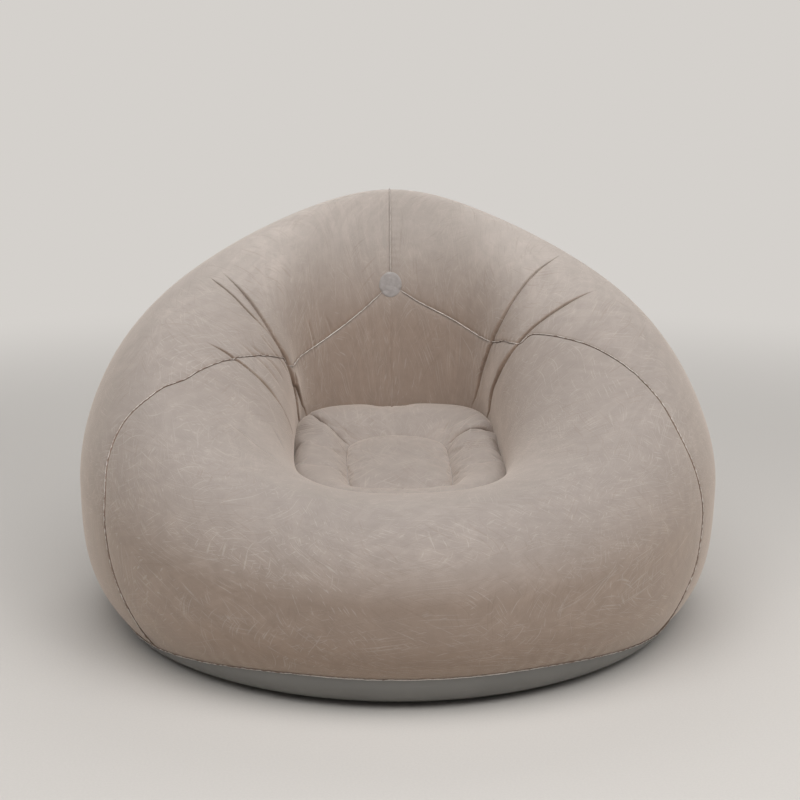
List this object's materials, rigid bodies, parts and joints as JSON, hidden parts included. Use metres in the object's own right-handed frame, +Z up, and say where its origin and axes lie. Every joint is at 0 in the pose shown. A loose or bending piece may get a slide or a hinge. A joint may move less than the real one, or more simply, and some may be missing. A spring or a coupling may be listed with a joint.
{
  "type": "inflatable ball lounge chair",
  "caption": "Round inflatable lounge chair of welded flocked sheet, with a deep bucket seat, high back, smooth base sheet and two-way air valve.",
  "frame": {"origin": "middle of the base on the floor", "axes": "+Z up, the seat faces -Y, +X to the left of a person sitting in it"},
  "size_m": [1.0692, 1.0419, 0.6889],
  "materials": {
    "flocked_sheet": "taupe flocking on soft sheet, matt with a velvet sheen",
    "smooth_sheet": "smooth grey sheet with a dull sheen",
    "inner_sheet": "plain grey sheet inside the air chamber",
    "valve_plastic": "soft moulded grey plastic",
    "clear_sheet": "cloudy clear soft sheet"
  },
  "bodies": {
    "body": {"front_panel": "flocked_sheet", "back_panel_left": "flocked_sheet", "back_panel_right": "flocked_sheet", "seat_ring": "flocked_sheet", "seat_pillow": "flocked_sheet", "base_sheet": "smooth_sheet", "ring_tie_band": "inner_sheet", "pillow_tie_band": "inner_sheet", "seam_patch": "clear_sheet", "valve_base": "valve_plastic", "stopper_strap": "valve_plastic"},
    "stopper": {"valve_stopper": "valve_plastic", "cap_strap": "valve_plastic"},
    "cap": {"valve_cap": "valve_plastic"},
    "flap": {"valve_flap": "clear_sheet"}
  },
  "joints": [
    {"name": "stopper_pull", "type": "slide", "parent": "body", "child": "stopper", "axis": [0.4995, 0.8652, -0.0428], "range_m": [0, 0.022]},
    {"name": "cap_pull", "type": "slide", "parent": "stopper", "child": "cap", "axis": [0.4995, 0.8652, -0.0428], "range_m": [0, 0.012]},
    {"name": "flap_swing", "type": "hinge", "parent": "stopper", "child": "flap", "pos_m": [0.26509, 0.43914, 0.1547], "axis": [-0.866, 0.5, 0], "range_deg": [0, 55], "stiffness_Nm_per_rad": 0.001}
  ]
}
